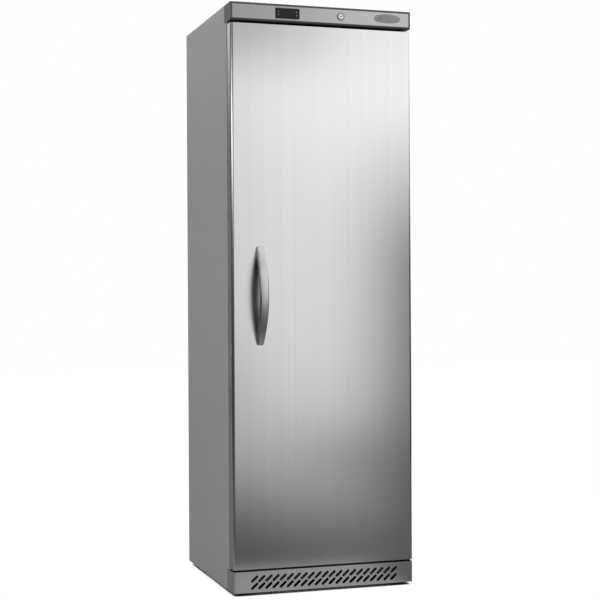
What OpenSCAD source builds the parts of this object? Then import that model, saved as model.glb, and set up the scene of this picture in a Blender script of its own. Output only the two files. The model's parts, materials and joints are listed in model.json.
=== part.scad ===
// Commercial upright refrigerator: one solid door, controls in a header, and a slotted kick plate.
// Millimetres, +Z up, the front faces -Y, and the origin is on the floor under the middle of the outline.
// Depths in the modules are counted from the door's front face, and on_plan() moves them into place.

/* [Overall] */
// Width of the cabinet
body_w = 600; // [560:5:680]
// Depth from the door's front face to the back edge of the side panels
body_d = 600; // [570:5:680]
// Height from the floor to the top
body_h = 1850; // [1800:10:2050]
// Reach of the handle in front of the door
handle_reach = 60; // [52:1:75]

/* [Cabinet] */
// Thickness of the outer sheet metal
sheet_t = 1; // [0.8:0.1:1.5]
// Insulated wall, from the outer face to the cabin
wall_t = 45; // [42:1:55]
// Insulated rear wall, from the outer face to the cabin
rear_wall_t = 50; // [45:1:60]
// Space behind the rear panel for the condenser
rear_recess = 30; // [28:1:40]
// Thickness of the cabin's plastic liner
liner_t = 2; // [1.5:0.1:3]
// Corner radius of the cabin, seen from the side
cabin_r = 14; // [8:1:24]
// Height of the compressor compartment above the floor
comp_h = 268; // [262:1:290]
// Depth of the compressor compartment in front of the rear panel
comp_d = 185; // [180:1:200]
// Width of the bent edges behind the rear panel
rear_lap = 14; // [12:1:20]

/* [Shelf ledges] */
// Number of ledge levels on each side
ledge_count = 14; // [10:1:14]
// Height from one ledge to the next
ledge_pitch = 96; // [80:1:98]
// Height of the first ledge above the cabin floor
ledge_first = 94; // [60:1:100]
// How far a ledge stands out of the side wall
ledge_w = 12; // [10:1:15]
// Height of one ledge
ledge_h = 10; // [6:1:14]
// Gap between a ledge and the cabin's front and back
ledge_end = 18; // [16:1:30]

/* [Door] */
// Thickness of the door at its edge
door_t = 40; // [36:1:44]
// Gap between the door and the cabinet, which the gasket fills
door_gap = 10; // [9:0.5:12]
// Radius of the door's long front edges
door_edge_r = 8; // [5:0.5:10]
// Width of the skin's rear return
door_return = 14; // [12:1:16]
// Thickness of the end caps
cap_t = 3; // [2:0.5:4]
// Depth of the end caps inside the skin
cap_h = 12; // [11:1:16]
// How far the raised middle of the door liner stands into the cabin
plateau_h = 22; // [16:1:24]
// Gap between the raised middle and the cabin wall
plateau_gap = 17; // [12:1:24]

/* [Gasket] */
// Distance from the door's edge to the gasket
gasket_inset = 16; // [15:1:18]
// Width of the gasket
gasket_w = 24; // [20:1:26]
// Gap between the closed gasket and the cabinet
gasket_clear = 0.3; // [0.2:0.1:0.5]

/* [Hinges] */
// Distance of the hinge axis from the door's edge
hinge_in = 14; // [13:0.5:15]
// Distance of the hinge axis from the door's front
hinge_back = 20; // [18:0.5:22]
// Radius of the hinge pins
pin_r = 4; // [3:0.1:5]
// Running clearance of pins, shafts and stems, on the radius
run_clear = 0.05; // [0.02:0.01:0.1]
// Thickness of the hinge brackets
bracket_t = 3; // [2.5:0.1:3.4]
// Width of the hinge brackets
bracket_w = 52; // [44:1:60]
// Height of the brackets' legs
bracket_leg = 36; // [32:1:38]
// Radius of the hinge bushes
bush_r = 7; // [6:0.5:8]

/* [Header] */
// Height of the header
header_h = 57; // [52:1:64]
// How far the header wraps round the cabinet's sides
header_return = 76; // [66:1:90]
// Gap between the door and the header
header_gap = 8.5; // [8:0.1:10]
// Wall of the header housing
header_t = 2; // [1.8:0.1:2.5]
// Radius of the header's lower front edge
header_r = 7; // [4:0.5:8]
// Visible rim round the fascia plate
rim_w = 6; // [4:0.5:8]
// Thickness of the fascia plate
fascia_t = 1.2; // [0.8:0.1:1.5]
// Width of the plain oval badge
badge_w = 88; // [70:1:96]
// Height of the plain oval badge
badge_h = 28; // [22:1:32]
// Distance of the badge's centre from the header's right end
badge_in = 79; // [75:1:110]
// Badge centre above the header's lower edge
badge_up = 30.5; // [28:0.5:33]

/* [Controller] */
// Width of the controller's face
ctrl_w = 79; // [74:1:84]
// Height of the controller's face
ctrl_h = 33; // [30:1:35]
// How far its face stands out
ctrl_proud = 2; // [1:0.5:3]
// Depth of its body behind the fascia
ctrl_d = 42; // [30:1:44]
// Controller centre, to the left of the middle
ctrl_left = 114.8; // [90:0.1:140]
// Controller centre above the header's lower edge
ctrl_up = 28; // [26:0.5:31]
// Width of a key
key_w = 9; // [7:0.5:10]
// Height of a key
key_h = 7; // [5:0.5:9]
// Travel of a key
key_travel = 0.5; // [0.3:0.1:0.8]
// Gap round a key
key_gap = 0.3; // [0.3:0.05:0.5]

/* [Lock] */
// Lock centre, to the right of the middle
lock_x = 63; // [40:1:90]
// Lock centre above the header's lower edge
lock_up = 29; // [28:0.5:30]
// Radius of the lock's collar
lock_r = 12.5; // [11:0.5:14]
// Radius of the turning plug
plug_r = 7.5; // [6:0.5:8]
// Depth of the barrel behind the fascia
barrel_d = 19; // [17:1:20]
// Length of the locking cam
cam_l = 50; // [48:0.5:51]
// Width of the locking cam
cam_w = 12; // [9:0.5:13]
// Thickness of the locking cam
cam_t = 3; // [2:0.5:3.5]
// Clearance round the cam in its slots
cam_clear = 2.5; // [2:0.5:3]

/* [Kick plate] */
// Clearance under the kick plate
kick_clear = 10; // [8:1:12]
// Height of the kick plate
kick_h = 66; // [64:1:72]
// How far the kick plate wraps round the sides
kick_return = 76; // [60:1:80]
// Radius of its vertical corners
kick_r = 8; // [6:1:20]
// Wall of the kick plate
kick_t = 2; // [1.5:0.1:2.5]
// Gap between the kick plate and the door
kick_gap = 6.5; // [6.5:0.1:9]
// Number of slots in a row
slot_count = 21; // [15:1:21]
// Distance between slots
slot_pitch = 23.2; // [21:0.1:24]
// Height of one row above the other
slot_rise = 22.5; // [21:0.5:24]
// Height of the lower row above the kick plate's lower edge
slot_up = 20; // [18:0.5:22]
// Length of a slot
slot_l = 29; // [20:0.5:29.5]
// Width of a slot
slot_w = 8.5; // [5:0.5:9]
// Slant of the slots
slot_tilt = 41; // [30:1:50]

/* [Handle] */
// Length of the handle
handle_l = 308; // [280:1:340]
// Height of its centre above the floor
handle_z = 934.5; // [850:1:1050]
// Handle centre, from the door's free edge
handle_in = 90; // [70:1:110]
// Width at its middle
handle_mid_w = 27; // [22:1:32]
// Width at its ends
handle_end_w = 18; // [14:1:20]
// Thickness at its middle
handle_mid_t = 15; // [12:1:18]
// Thickness at its ends
handle_end_t = 8; // [6:1:12]
// Length of each foot on the door
handle_foot = 29; // [24:1:36]

/* [Base] */
// Height of the base frame's lower edge
base_z = 36; // [35:1:38]
// Metal of the base frame
base_t = 2; // [1.5:0.1:2.5]
// Width of the frame's lower flanges
base_lap = 50; // [46:1:56]
// Radius of a levelling foot's pad
foot_r = 17; // [14:1:20]
// Height of a foot's pad
foot_h = 7; // [6:1:10]
// Radius of a foot's stem
stem_r = 5; // [4:0.5:6]
// Length of a foot's stem above the pad
stem_l = 62; // [56:1:64]
// Distance of the feet from the door's front
foot_back = 88; // [80:1:110]
// Distance of the feet and rollers from the cabinet's side
foot_in = 30; // [28:1:32]
// Radius of a roller
roller_r = 15; // [12:0.5:15]
// Width of a roller
roller_w = 18; // [14:1:20]
// Distance of the rollers from the back edge
roller_front = 42; // [38:1:60]
// Radius of a roller's axle
axle_r = 4; // [3:0.5:5]

/* [Shelves] */
// Wire of a shelf's frame, radius
rail_r = 3; // [2.5:0.1:3.5]
// Thin wires of a shelf, radius
wire_r = 1.5; // [1:0.1:2]
// Number of thin wires
wire_count = 19; // [13:1:21]
// Gap between a shelf and the side walls
shelf_side_gap = 5; // [4:0.5:6]
// Gap between a shelf and the back wall
shelf_back_gap = 10; // [8:1:16]
// Free travel of a shelf behind the closed door
shelf_travel = 30; // [8:1:34]
// Ledge of the lowest shelf, counted from 0
shelf_first = 1; // [1:1:2]
// Ledges from one shelf to the next
shelf_step = 3; // [2:1:3]

/* [Cooling] */
// Radius of the compressor
compressor_r = 75; // [65:1:78]
// Height of the compressor's shell
compressor_h = 150; // [130:1:155]
// Compressor centre, to the right of the middle
compressor_x = 140; // [120:1:170]
// Height of the rubber mounts under the compressor
mount_h = 12; // [10:1:14]
// Height of the evaporation tray
tray_h = 30; // [20:1:34]
// Radius of the condenser's tube
coil_r = 2.5; // [2:0.1:3]
// Number of the condenser's passes
coil_count = 15; // [11:2:15]
// Distance between the condenser's passes
coil_pitch = 76; // [60:1:78]
// Height of the lowest pass
coil_z = 380; // [360:1:420]
// Number of the condenser's wires
fin_count = 18; // [12:1:20]
// Radius of the condenser's wires
fin_r = 0.8; // [0.6:0.1:1]
// Radius of the fan
fan_r = 50; // [40:1:54]
// Depth of the fan cover
fan_cover_d = 62; // [60:1:70]
// Width of the fan cover
fan_cover_w = 250; // [220:5:280]
// Height of the fan cover
fan_cover_h = 160; // [145:5:175]
// Distance from the fan cover to the cabin's rounded upper corner
fan_cover_drop = 2; // [1:1:8]
// Wall of the fan cover
fan_cover_t = 2; // [1.5:0.1:3]
// Number of fan blades
blade_count = 5; // [3:1:6]

/* [Hidden] */
$fn = 48;

// Colours, as seen in the photograph
steel = [0.74, 0.75, 0.75];
side_grey = [0.56, 0.56, 0.56];
bright = [0.85, 0.85, 0.87];
dark_trim = [0.33, 0.33, 0.34];
zinc = [0.66, 0.67, 0.68];
white = [0.93, 0.93, 0.92];
black = [0.08, 0.08, 0.09];
foam_yellow = [0.88, 0.82, 0.62];
copper = [0.72, 0.43, 0.28];

// Planes and levels that the pieces share
trim_gap = 0.5;
eps = 0.01;
past = 5;
front_y = handle_reach - (handle_reach + body_d) / 2;
half_w = body_w / 2;
skin_in = half_w - sheet_t;
cabin_half = half_w - wall_t;
liner_half = cabin_half + liner_t;
flange_y = door_t + door_gap;
rear_panel_y = body_d - rear_recess;
rear_in = rear_panel_y - sheet_t;
cabin_back = rear_panel_y - rear_wall_t;
header_z = body_h - header_h;
header_in = half_w - header_t;
door_top = header_z - header_gap;
kick_top = kick_clear + kick_h;
door_bottom = kick_top + kick_gap;
cabin_top = door_top - wall_t;
cabin_floor = door_bottom + wall_t;
base_top = kick_top + base_t;
comp_y = rear_panel_y - comp_d;
step_y = comp_y - wall_t;
step_z = comp_h + wall_t;
pan_top = base_z + 2 * base_t;
lip_z = body_h - header_t - 2 * trim_gap;
hinge_x = half_w - hinge_in;
bush_z = 1.2;
bracket_x = half_w - max(header_t, kick_t) - trim_gap;
bracket_mid = bracket_x - bracket_w / 2;
lower_plate = door_bottom - bush_z - gasket_clear;
upper_plate = door_top + bush_z + gasket_clear;
leg_low = lower_plate - bracket_t - bracket_leg;

// Shared shapes
module on_plan() {
    translate([0, front_y, 0]) children();
}
module span(lo, hi) {
    translate(lo) cube(hi - lo);
}
module rod_x(y, z, x0, x1, r) {
    translate([x0, y, z]) rotate([0, 90, 0]) cylinder(h = x1 - x0, r = r);
}
module rod_y(x, z, y0, y1, r) {
    translate([x, y0, z]) rotate([-90, 0, 0]) cylinder(h = y1 - y0, r = r);
}
module rod_z(x, y, z0, z1, r) {
    translate([x, y, z0]) cylinder(h = z1 - z0, r = r);
}
// A flat shape drawn as depth and height, drawn out from x0 to x1
module along_x(x0, x1) {
    translate([x0, 0, 0]) rotate([90, 0, 90]) linear_extrude(x1 - x0) children();
}
// A flat shape drawn as width and height, drawn out from y0 to y1
module along_y(y0, y1) {
    translate([0, y1, 0]) rotate([90, 0, 0]) linear_extrude(y1 - y0) children();
}
module mirrored() {
    children();
    mirror([1, 0, 0]) children();
}
module round_rect(lo, hi, r) {
    translate([lo[0] + r, lo[1]]) square([hi[0] - lo[0] - 2 * r, hi[1] - lo[1]]);
    translate([lo[0], lo[1] + r]) square([hi[0] - lo[0], hi[1] - lo[1] - 2 * r]);
    for (x = [lo[0] + r, hi[0] - r], z = [lo[1] + r, hi[1] - r]) {
        translate([x, z]) circle(r);
    }
}
// A straight tube between two points, with a round end at the second
module tube(a, b, r) {
    d = b - a;
    translate(a) rotate([0, acos(d[2] / norm(d)), atan2(d[1], d[0])]) cylinder(h = norm(d), r = r);
}
module pipe(points, r) {
    for (i = [1 : len(points) - 1]) {
        tube(points[i - 1], points[i], r);
    }
    if (len(points) > 2) {
        for (i = [1 : len(points) - 2]) {
            translate(points[i]) sphere(r);
        }
    }
}

// Outer panels
rear_screw_end = 60;
rear_screw_run = body_h - comp_h - 2 * rear_screw_end;
rear_screw_z = [for (i = [0 : 7]) comp_h + rear_screw_end + i * rear_screw_run / 7];
screw_r = 2;
module rear_screw_bores(r) {
    for (z = rear_screw_z, side = [-1, 1]) {
        rod_y(side * (skin_in - rear_lap / 2), z, rear_in - 3, rear_panel_y, r);
    }
}
module side_panel() {
    hem = 12;
    color(side_grey) on_plan() difference() {
        union() {
            span([-half_w, flange_y, kick_clear], [-skin_in, body_d, body_h]);
            span([-half_w, flange_y, base_top], [-liner_half, flange_y + sheet_t, header_z - trim_gap]);
            span([-header_in + trim_gap, flange_y, base_top], [-liner_half, flange_y + sheet_t, lip_z - sheet_t]);
            span([-half_w, rear_in - sheet_t, comp_h], [-skin_in + rear_lap, rear_in, body_h - sheet_t]);
            span([-half_w, body_d - sheet_t, kick_clear], [-half_w + hem, body_d, body_h - sheet_t]);
        }
        span([-half_w - past, 0, header_z - trim_gap], [-skin_in, header_return + trim_gap, body_h + past]);
        span([-half_w - past, 0, 0], [-skin_in, kick_return + trim_gap, kick_top + trim_gap]);
        rear_screw_bores(screw_r + run_clear);
        hinge_screw_bores(hinge_screw_r + run_clear);
    }
}
module side_panel_left() {
    side_panel();
}
module side_panel_right() {
    mirror([1, 0, 0]) side_panel();
}
module top_panel() {
    step = header_return + trim_gap;
    color(side_grey) on_plan() {
        span([-skin_in, step, body_h - sheet_t], [skin_in, body_d, body_h]);
        span([-header_in + trim_gap, step, lip_z - sheet_t], [header_in - trim_gap, step + sheet_t, body_h]);
        span([-header_in + trim_gap, flange_y, lip_z - sheet_t], [header_in - trim_gap, step + sheet_t, lip_z]);
    }
}
module rear_panel() {
    color(zinc) on_plan() difference() {
        span([-skin_in, rear_in, comp_h], [skin_in, rear_panel_y, body_h - sheet_t]);
        rear_screw_bores(screw_r + run_clear);
    }
}
module front_rails() {
    color(side_grey) on_plan() difference() {
        union() {
            span([-liner_half, flange_y, base_top], [liner_half, flange_y + sheet_t, cabin_floor - liner_t]);
            span([-liner_half, flange_y, cabin_top + liner_t], [liner_half, flange_y + sheet_t, lip_z - sheet_t]);
        }
        hinge_screw_bores(hinge_screw_r + run_clear);
    }
}
module floor_pan() {
    inside = flange_y + sheet_t;
    color(zinc) on_plan() {
        span([-skin_in, inside, base_top], [skin_in, comp_y, base_top + sheet_t]);
        span([-skin_in, comp_y - sheet_t, base_top], [skin_in, comp_y, comp_h + sheet_t]);
        difference() {
            span([-skin_in, comp_y - sheet_t, comp_h], [skin_in, rear_in - sheet_t, comp_h + sheet_t]);
            rod_z(drain_x, drain_y, comp_h - past, comp_h + past, drain_r);
            rod_z(conduit_x, conduit_y, comp_h - past, comp_h + past, conduit_r);
        }
    }
}

// Insulation and cabin
drain_r = 9;
drain_x = compressor_x - 30;
drain_flat = 7;
drain_y = cabin_back - cabin_r - drain_r - drain_flat;
strainer_r = 1.6;
strainer_pitch = 5.4;
conduit_r = 6;
conduit_x = -(skin_in - 14);
conduit_y = rear_in - 22;
conduit_top = lip_z - sheet_t - 16;
evap_t = 2;
evap_side = 65;
evap_w = 2 * (cabin_half - evap_side);
evap_h = 820;
evap_z1 = cabin_top - 240;
evap_z0 = evap_z1 - evap_h;

// The cabin's inner form, grown outwards on all sides but the front
module cabin_form(grow, from_y) {
    low = cabin_floor - grow;
    high = cabin_top + grow;
    back = cabin_back + grow;
    r = cabin_r + grow;
    along_x(-cabin_half - grow, cabin_half + grow) intersection() {
        union() {
            round_rect([from_y - 2 * r, step_z - grow], [back, high], r);
            round_rect([from_y - 2 * r, low], [step_y + grow, high], r);
        }
        translate([from_y, 0]) square([body_d, body_h]);
    }
}
module insulation_foam() {
    inside = flange_y + sheet_t;
    color(foam_yellow) on_plan() difference() {
        span([-skin_in, inside, base_top + sheet_t], [skin_in, rear_in, body_h - sheet_t]);
        cabin_form(liner_t, flange_y);
        span([-half_w, comp_y - sheet_t, 0], [half_w, body_d, comp_h + sheet_t]);
        span([-half_w, 0, lip_z - sheet_t], [half_w, header_return + trim_gap + sheet_t, body_h]);
        mirrored() {
            span([-half_w, 0, header_z - trim_gap], [-header_in + trim_gap, header_return + trim_gap, body_h]);
            span([-half_w, rear_in - 3 * sheet_t, 0], [-skin_in + rear_lap, body_d, body_h]);
        }
        rod_z(drain_x, drain_y, 0, step_z, drain_r);
        conduit_form(conduit_r);
        evaporator_form();
        hinge_screw_bores(hinge_screw_r + run_clear);
    }
}
function ledge_z(i) = cabin_floor + ledge_first + i * ledge_pitch;
module inner_liner() {
    color(white) on_plan() difference() {
        union() {
            difference() {
                cabin_form(liner_t, flange_y);
                cabin_form(0, 0);
            }
            mirrored() {
                for (i = [0 : ledge_count - 1]) {
                    back = ledge_z(i) < step_z + ledge_h ? step_y : cabin_back;
                    span([-cabin_half - eps, flange_y + ledge_end, ledge_z(i)],
                        [-cabin_half + ledge_w, back - ledge_end, ledge_z(i) + ledge_h]);
                }
            }
        }
        rod_z(drain_x, drain_y, step_z - past, step_z + past, strainer_r);
        for (a = [0 : 60 : 300]) {
            hole_x = drain_x + strainer_pitch * cos(a);
            hole_y = drain_y + strainer_pitch * sin(a);
            rod_z(hole_x, hole_y, step_z - past, step_z + past, strainer_r);
        }
    }
}
module evaporator_form() {
    tube_gap = 80;
    span([-evap_w / 2, cabin_back + liner_t, evap_z0], [evap_w / 2, cabin_back + liner_t + evap_t, evap_z1]);
    for (z = [evap_z0 + tube_gap / 2 : tube_gap : evap_z1]) {
        rod_x(cabin_back + liner_t + evap_t, z, -evap_w / 2 + 20, evap_w / 2 - 20, 3.5);
    }
}
module evaporator_plate() {
    color(bright) on_plan() difference() {
        evaporator_form();
        span([-half_w, cabin_back - past, 0], [half_w, cabin_back + liner_t, body_h]);
    }
}
module conduit_form(r) {
    elbow = [conduit_x, conduit_y, conduit_top];
    tube([conduit_x, conduit_y, comp_h - 20], elbow, r);
    translate(elbow) sphere(r);
    tube([conduit_x, conduit_y, conduit_top] - [0, conduit_y - flange_y - sheet_t, 0], elbow, r);
}
module wiring_conduit() {
    color(black) on_plan() conduit_form(conduit_r);
}

// Base
hinge_screw_r = 2.5;
hinge_screw_y = flange_y + 10;
lower_screw_z = lower_plate - bracket_leg / 2 - bracket_t;
upper_screw_z = upper_plate + bracket_leg / 2 + bracket_t;
module hinge_screw_bores(r) {
    for (z = [lower_screw_z, upper_screw_z], x = [-1, 1]) {
        mirrored() rod_y(bracket_mid + x * bracket_w / 4, z, flange_y - bracket_t, hinge_screw_y, r);
    }
}
foot_x = half_w - foot_in;
roller_y = body_d - roller_front;
module base_frame() {
    runner_y = kick_return + trim_gap;
    color(zinc) on_plan() difference() {
        union() {
            mirrored() {
                span([-skin_in, runner_y, base_z], [-skin_in + base_t, body_d - sheet_t, base_top]);
                span([-header_in, flange_y, base_z], [-skin_in + base_t, runner_y + base_t, base_top]);
                span([-skin_in, runner_y, base_z], [-skin_in + base_lap, body_d - sheet_t, base_z + base_t]);
                span([-header_in, flange_y, base_z], [-header_in + base_lap, runner_y + base_t, base_z + base_t]);
                rod_z(foot_x, foot_back, base_z, base_z + 14, stem_r + 4);
            }
            span([-header_in, flange_y, base_z], [header_in, flange_y + base_t, base_top]);
            span([-header_in, flange_y, base_z], [header_in, flange_y + base_lap / 2, base_z + base_t]);
        }
        mirrored() rod_z(foot_x, foot_back, 0, base_top, stem_r + run_clear);
        hinge_screw_bores(hinge_screw_r + run_clear);
    }
}
// Tray under the compressor, with the rollers' brackets hanging from the frame beside it
module base_pan() {
    cheek = roller_w / 2 + 1;
    color(zinc) on_plan() {
        difference() {
            span([-skin_in + base_t, comp_y - sheet_t, base_z + base_t], [skin_in - base_t, body_d - 12, pan_top]);
            for (x = [-1, 1], y = [-1, 1]) {
                rod_z(compressor_x + x * mount_x, compressor_y + y * mount_y, base_z, pan_top + 1, mount_bolt_r);
            }
        }
        mirrored() {
            span([foot_x - cheek - base_t, roller_y - 16, base_z - base_t],
                [foot_x + cheek + base_t, roller_y + 16, base_z]);
            for (side = [-1, 1]) {
                x = foot_x + side * (cheek + base_t / 2);
                span([x - base_t / 2, roller_y - 9, roller_r - 8], [x + base_t / 2, roller_y + 9, base_z]);
            }
            rod_x(roller_y, roller_r, foot_x - cheek - 2 * base_t, foot_x + cheek + 2 * base_t, axle_r);
        }
    }
}
module foot(side) {
    color(black) on_plan() {
        rod_z(side * foot_x, foot_back, 0, foot_h, foot_r);
        rod_z(side * foot_x, foot_back, foot_h - 1, foot_h + stem_l, stem_r);
        rod_z(side * foot_x, foot_back, foot_h - 1, foot_h + 6, stem_r + 3);
    }
}
module foot_left() {
    foot(-1);
}
module foot_right() {
    foot(1);
}
module roller(side) {
    x = side * foot_x;
    color(black) on_plan() difference() {
        rod_x(roller_y, roller_r, x - roller_w / 2, x + roller_w / 2, roller_r);
        rod_x(roller_y, roller_r, x - roller_w, x + roller_w, axle_r + run_clear);
        for (end = [-1, 1]) {
            rod_x(roller_y, roller_r, x + end * roller_w / 2 - 2, x + end * roller_w / 2 + 2, roller_r * 0.7);
        }
    }
}
module roller_left() {
    roller(-1);
}
module roller_right() {
    roller(1);
}
module kick_plan(grow) {
    r = kick_r - grow;
    lo = [-half_w + grow, grow];
    translate([lo[0] + r, lo[1]]) square([body_w - 2 * kick_r, kick_r + grow]);
    translate([lo[0], lo[1] + r]) square([body_w - 2 * grow, kick_return - kick_r + (grow > 0 ? past : 0)]);
    for (x = [-1, 1]) {
        translate([x * (half_w - kick_r), kick_r]) circle(r);
    }
}
module kick_plate() {
    rib = 3;
    color(dark_trim) on_plan() {
        difference() {
            translate([0, 0, kick_clear]) linear_extrude(kick_h) kick_plan(0);
            translate([0, 0, kick_clear - past]) linear_extrude(kick_h + 2 * past) kick_plan(kick_t);
            for (i = [0 : slot_count - 1], row = [0, 1]) {
                x = (i - (slot_count - 1) / 2) * slot_pitch;
                translate([x, 0, kick_clear + slot_up + row * slot_rise]) rotate([0, -slot_tilt, 0]) {
                    slot(slot_l, slot_w);
                }
            }
        }
        for (x = [-1, 1]) {
            span([x * (half_w - 28) - rib / 2, kick_t - eps, kick_clear + 4],
                [x * (half_w - 28) + rib / 2, flange_y, leg_low - trim_gap]);
        }
    }
}
module slot(l, w) {
    span([-(l - w) / 2, -past, -w / 2], [(l - w) / 2, past, w / 2]);
    for (end = [-1, 1]) {
        rod_y(end * (l - w) / 2, 0, -past, past, w / 2);
    }
}

// Hinges
module hinge_bracket(plate_z, leg, pin) {
    arm = hinge_in - (half_w - bracket_x);
    color(zinc) on_plan() difference() {
        union() {
            span([bracket_x - bracket_w, hinge_back, plate_z], [bracket_x, flange_y, plate_z + bracket_t]);
            span([hinge_x - arm, hinge_back, plate_z], [hinge_x + arm, hinge_back + arm, plate_z + bracket_t]);
            rod_z(hinge_x, hinge_back, plate_z, plate_z + bracket_t, arm);
            span([bracket_x - bracket_w, flange_y - bracket_t, leg[0]], [bracket_x, flange_y, leg[1]]);
            rod_z(hinge_x, hinge_back, pin[0], pin[1], pin_r);
        }
        hinge_screw_bores(hinge_screw_r + run_clear);
    }
}
module hinge_bracket_lower() {
    z = lower_plate - bracket_t;
    hinge_bracket(z, [leg_low, z + bracket_t], [z, door_bottom + cap_h - 1]);
}
module hinge_bracket_upper() {
    z = upper_plate;
    hinge_bracket(z, [z, z + bracket_leg + bracket_t], [door_top - cap_h + 1, z + bracket_t]);
}
module cabinet_screws() {
    color(zinc) on_plan() {
        rear_screw_bores(screw_r);
        for (z = rear_screw_z, side = [-1, 1]) {
            rod_y(side * (skin_in - rear_lap / 2), z, rear_panel_y, rear_panel_y + 2, 2 * screw_r);
        }
        intersection() {
            span([0, 0, 0], [half_w, body_d, body_h]);
            hinge_screw_bores(hinge_screw_r);
        }
        for (z = [lower_screw_z, upper_screw_z], x = [-1, 1]) {
            rod_y(bracket_mid + x * bracket_w / 4, z, flange_y - bracket_t - 3, flange_y - bracket_t,
                2 * hinge_screw_r);
        }
    }
}
// A bush sleeve in each cap, with a collar that rides on the bracket
module bush_form(r) {
    collar = bush_r + 3;
    difference() {
        union() {
            rod_z(hinge_x, hinge_back, door_bottom, door_bottom + cap_h - trim_gap, bush_r);
            rod_z(hinge_x, hinge_back, door_bottom - bush_z, door_bottom, collar);
            rod_z(hinge_x, hinge_back, door_top - cap_h + trim_gap, door_top, bush_r);
            rod_z(hinge_x, hinge_back, door_top, door_top + bush_z, collar);
        }
        rod_z(hinge_x, hinge_back, 0, body_h, r);
    }
}
module hinge_bushes() {
    color(white) on_plan() bush_form(pin_r + run_clear);
}

// Header
lock_z = header_z + lock_up;
cam_y = barrel_d + 4;
ctrl_x = -ctrl_left;
ctrl_z = header_z + ctrl_up;
badge_z = header_z + badge_up;
module header_profile(grow) {
    r = header_r - grow;
    round_top = 2;
    front = grow > 0 ? fascia_t + grow : 0;
    translate([front + r, header_z + grow]) square([header_return - front - r, header_h - 2 * grow]);
    translate([front, header_z + grow + r]) square([2 * r, header_h - 2 * grow - r - round_top]);
    translate([front + round_top, body_h - grow - 2 * round_top]) square([r, 2 * round_top]);
    translate([front + r, header_z + grow + r]) circle(r);
    translate([front + round_top, body_h - grow - round_top]) circle(round_top);
}
module cam_slot(z0, z1, reach) {
    span([lock_x - cam_w / 2 - cam_clear, cam_y - cam_clear, z0],
        [lock_x + reach, cam_y + cam_t + cam_clear, z1]);
}
function cam_reach(drop) = sqrt(pow(cam_l, 2) + pow(cam_w / 2, 2) - pow(drop, 2)) + cam_clear;
module header_housing() {
    color(dark_trim) on_plan() difference() {
        along_x(-half_w, half_w) header_profile(0);
        along_x(-header_in, header_in) header_profile(header_t);
        span([-header_in, flange_y - bracket_t - 1, 0], [header_in, body_d, body_h - header_t]);
        span([-half_w + rim_w, -past, header_z + header_r], [half_w - rim_w, fascia_t, body_h - header_r]);
        cam_slot(header_z - past, header_z + header_t + past, cam_reach(lock_up - header_t));
        ctrl_body(trim_gap);
        rod_y(lock_x, lock_z, -past, past + fascia_t, plug_r + 2);
    }
}
module fascia_plate() {
    color(steel) on_plan() difference() {
        span([-half_w + rim_w, 0, header_z + header_r], [half_w - rim_w, fascia_t, body_h - header_r]);
        ctrl_body(trim_gap);
        rod_y(lock_x, lock_z, -past, past, plug_r + 2);
    }
}
module badge_plate() {
    // An oval of four arcs: round ends, and long arcs that touch them
    badge_t = 1.5;
    end_r = badge_h * 0.36;
    side_r = (pow(badge_w / 2 - end_r, 2) + pow(badge_h / 2, 2) - pow(end_r, 2)) / (badge_h - 2 * end_r);
    color(bright) on_plan() translate([half_w - badge_in, 0, badge_z]) along_y(-badge_t, 0) union() {
        intersection() {
            translate([0, side_r - badge_h / 2]) circle(side_r, $fn = 180);
            translate([0, badge_h / 2 - side_r]) circle(side_r, $fn = 180);
            square([badge_w - 2 * end_r, 2 * badge_h], center = true);
        }
        for (x = [-1, 1]) {
            translate([x * (badge_w / 2 - end_r), 0]) circle(end_r);
        }
    }
}
module ctrl_body(grow) {
    wall = 4;
    span([ctrl_x - ctrl_w / 2 + wall - grow, -past, ctrl_z - ctrl_h / 2 + wall - grow],
        [ctrl_x + ctrl_w / 2 - wall + grow, ctrl_d, ctrl_z + ctrl_h / 2 - wall + grow]);
}
window_w = ctrl_w * 0.54;
window_h = ctrl_h - 10;
window_t = 1;
key_t = 2.5;
module window_form(grow) {
    along_y(-ctrl_proud, -ctrl_proud + window_t) translate([ctrl_x, ctrl_z]) {
        round_rect([-window_w / 2 - grow, -window_h / 2 - grow], [window_w / 2 + grow, window_h / 2 + grow], 1.5);
    }
}
module key_form(side, row, grow, y0, y1) {
    x = ctrl_x + side * (window_w / 2 + (ctrl_w - window_w) / 4 - 0.5);
    z = ctrl_z + row * (key_h / 2 + 1.8);
    span([x - key_w / 2 - grow, y0, z - key_h / 2 - grow], [x + key_w / 2 + grow, y1, z + key_h / 2 + grow]);
}
module controller_case() {
    color(black) on_plan() difference() {
        union() {
            along_y(-ctrl_proud, 0) translate([ctrl_x, ctrl_z]) {
                round_rect([-ctrl_w / 2, -ctrl_h / 2], [ctrl_w / 2, ctrl_h / 2], 2);
            }
            intersection() {
                ctrl_body(0);
                span([-half_w, -eps, 0], [half_w, body_d, body_h]);
            }
        }
        window_form(0);
        for (side = [-1, 1], row = [-1, 1]) {
            key_form(side, row, key_gap, -ctrl_proud - past, -ctrl_proud + key_t + key_travel + key_gap);
        }
    }
}
module controller_window() {
    color([0.15, 0.16, 0.18]) on_plan() window_form(0);
}
module key(side, row) {
    color([0.2, 0.2, 0.21]) on_plan() key_form(side, row, 0, -ctrl_proud - key_travel, -ctrl_proud + key_t);
}
module key_upper_left() {
    key(-1, 1);
}
module key_lower_left() {
    key(-1, -1);
}
module key_upper_right() {
    key(1, 1);
}
module key_lower_right() {
    key(1, -1);
}

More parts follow.
